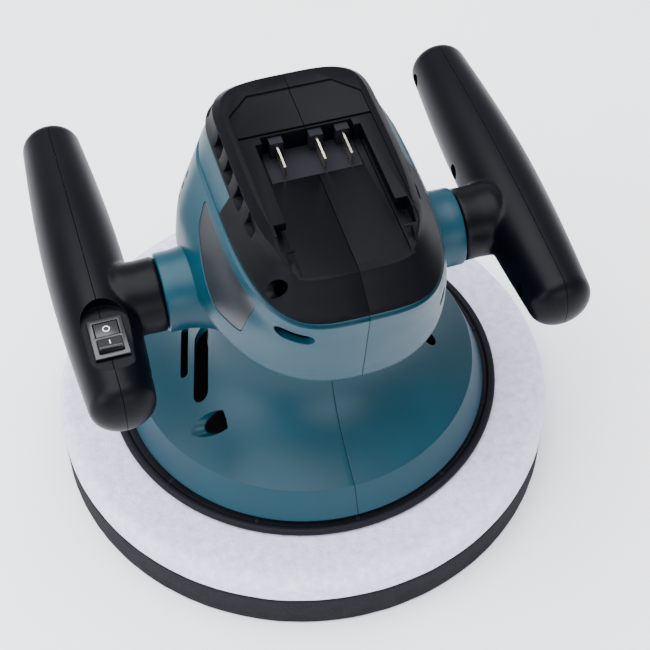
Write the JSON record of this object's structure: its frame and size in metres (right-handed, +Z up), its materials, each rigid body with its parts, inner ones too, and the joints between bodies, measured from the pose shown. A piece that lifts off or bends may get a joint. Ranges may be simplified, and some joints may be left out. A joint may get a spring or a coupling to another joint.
{
  "type": "dual action polisher",
  "caption": "Cordless orbital polisher: a flared body on a wide round foam pad, with two bar handles, a rocker switch and an open battery dock on top.",
  "frame": {"origin": "on the motor's axis at the pad's working face", "axes": "+Z up along the motor shaft, -Y towards the dock's open end, +X to the right handle seen from the front; the switch is on the handle at -X"},
  "size_m": [0.24, 0.24, 0.212],
  "materials": {
    "dark_foam": "open-cell foam, matt",
    "white_foam": "closed-cell foam, matt with a fine sparkle",
    "black_plastic": "matt black plastic",
    "steel": "plain steel",
    "zinc_steel": "zinc-plated steel",
    "lamination": "laminated steel",
    "cast_iron": "as cast",
    "copper": "enamelled copper",
    "ferrite": "sintered ferrite",
    "carbon": "carbon",
    "brass": "tinned brass",
    "aluminium": "die cast",
    "teal_plastic": "satin moulded plastic",
    "dock_plastic": "fine-textured black plastic",
    "handle_plastic": "satin black plastic",
    "switch_plastic": "gloss black plastic",
    "grey_plate": "printed dark grey plate",
    "red_lead": "pvc insulation",
    "brown_lead": "pvc insulation",
    "black_lead": "pvc insulation"
  },
  "bodies": {
    "housing": {"lower_bearing_outer": "steel", "lower_bearing_balls": "steel", "upper_bearing_outer": "steel", "upper_bearing_balls": "steel", "motor_can": "zinc_steel", "motor_magnets": "ferrite", "motor_end_cap": "black_plastic", "brush_holders": "brass", "carbon_brushes": "carbon", "brush_springs": "steel", "motor_mount": "aluminium", "housing_left": "teal_plastic", "housing_right": "teal_plastic", "housing_screws": "steel", "name_plate": "grey_plate", "dock_left": "dock_plastic", "dock_right": "dock_plastic", "dock_screws": "steel", "terminal_block": "black_plastic", "positive_blade": "brass", "negative_blade": "brass", "signal_blade": "brass", "left_handle_inner": "handle_plastic", "left_handle_outer": "handle_plastic", "left_handle_screws": "steel", "right_handle_inner": "handle_plastic", "right_handle_outer": "handle_plastic", "right_handle_screws": "steel", "switch_frame": "switch_plastic", "switch_terminals": "brass", "supply_lead": "red_lead", "switched_lead": "brown_lead", "return_lead": "black_lead"},
    "rotor": {"eccentric_hub": "cast_iron", "hub_set_screw": "steel", "hub_circlip": "steel", "motor_shaft": "steel", "armature_core": "lamination", "armature_windings": "copper", "commutator": "copper", "cooling_fan": "black_plastic", "lower_bearing_inner": "steel", "upper_bearing_inner": "steel", "pad_bearing_outer": "steel", "pad_bearing_balls": "steel"},
    "pad": {"polishing_foam": "dark_foam", "cushion_foam": "white_foam", "backing_plate": "black_plastic", "plate_hub": "steel", "plate_screws": "steel", "pad_spindle": "steel", "spindle_circlip": "steel", "pad_bearing_inner": "steel"},
    "rocker": {"switch_rocker": "switch_plastic"}
  },
  "joints": [
    {"name": "rotor_spin", "type": "hinge", "parent": "housing", "child": "rotor", "pos_m": [0, 0, 0.12], "axis": [0, 0, 1], "continuous": true},
    {"name": "pad_spin", "type": "hinge", "parent": "rotor", "child": "pad", "pos_m": [0, 0.003, 0.05], "axis": [0, 0, 1], "continuous": true},
    {"name": "switch_rock", "type": "hinge", "parent": "housing", "child": "rocker", "pos_m": [-0.0944, -0.041, 0.1483], "axis": [1, 0, 0], "range_deg": [0, 20]}
  ]
}
